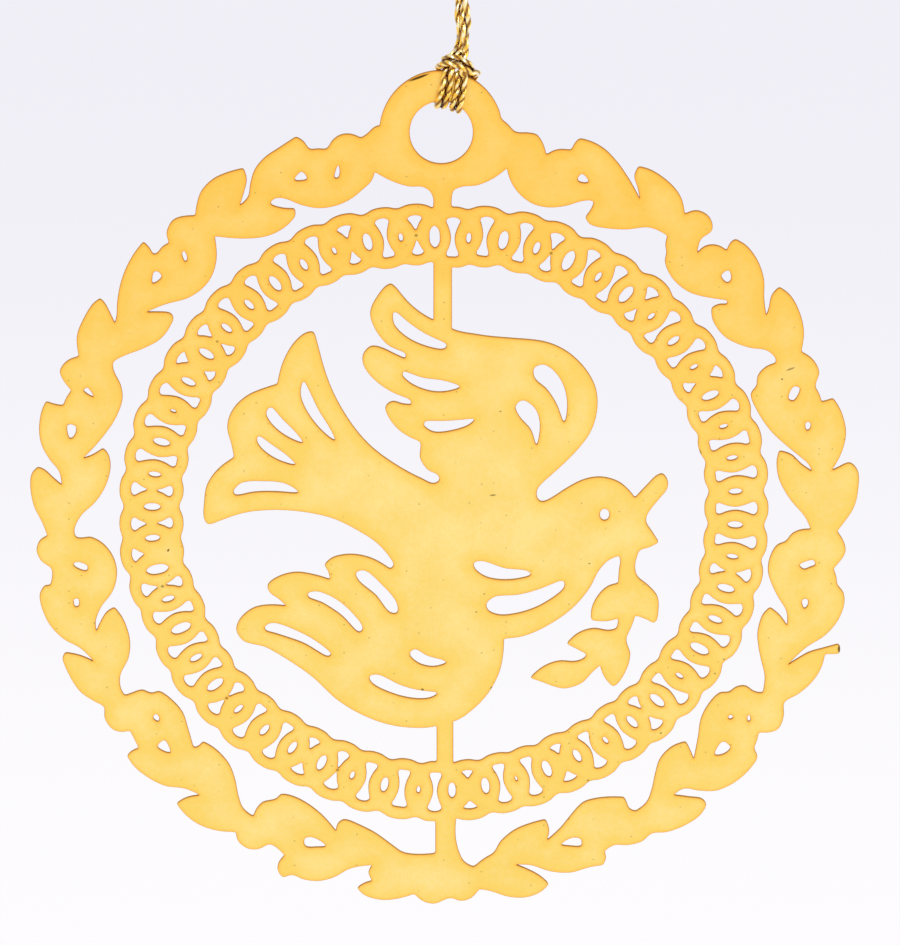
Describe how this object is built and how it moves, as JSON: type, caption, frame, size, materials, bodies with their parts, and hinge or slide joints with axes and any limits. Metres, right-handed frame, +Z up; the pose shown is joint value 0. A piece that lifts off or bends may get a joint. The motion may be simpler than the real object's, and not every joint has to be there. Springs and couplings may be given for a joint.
{
  "type": "hanging ornament",
  "caption": "Flat pierced brass ornament: a dove with an olive sprig inside a ring of links and a leaf wreath, hung by its eye from a twisted gold cord.",
  "frame": {"origin": "top of the cord's loop, just under its knot, where a hook holds the ornament", "axes": "+Z up, +X to the right as seen from the front, -Y out of the plate's front"},
  "size_m": [0.0828, 0.004, 0.1299],
  "materials": {
    "brass_plate": "satin gold finish on thin sheet",
    "gold_cord": "twisted metallic thread"
  },
  "bodies": {
    "hanger": {"end_knot": "gold_cord"},
    "strands": {"cord_strand_right": "gold_cord", "cord_strand_left": "gold_cord"},
    "hitch": {"cord_hitch": "gold_cord"},
    "plate": {"etched_plate": "brass_plate"}
  },
  "joints": [
    {"name": "loop_swing", "type": "hinge", "parent": "hanger", "child": "strands", "pos_m": [0, 0, 0], "axis": [1, 0, 0], "range_deg": [-60, 60]},
    {"name": "cord_twist", "type": "hinge", "parent": "strands", "child": "hitch", "pos_m": [0, -0.00028, -0.031], "axis": [0, 0, 1], "range_deg": [-180, 180]},
    {"name": "plate_rock", "type": "hinge", "parent": "hitch", "child": "plate", "pos_m": [-0.00215, 0, -0.04013], "axis": [0, 1, 0], "range_deg": [-35, 35]}
  ]
}
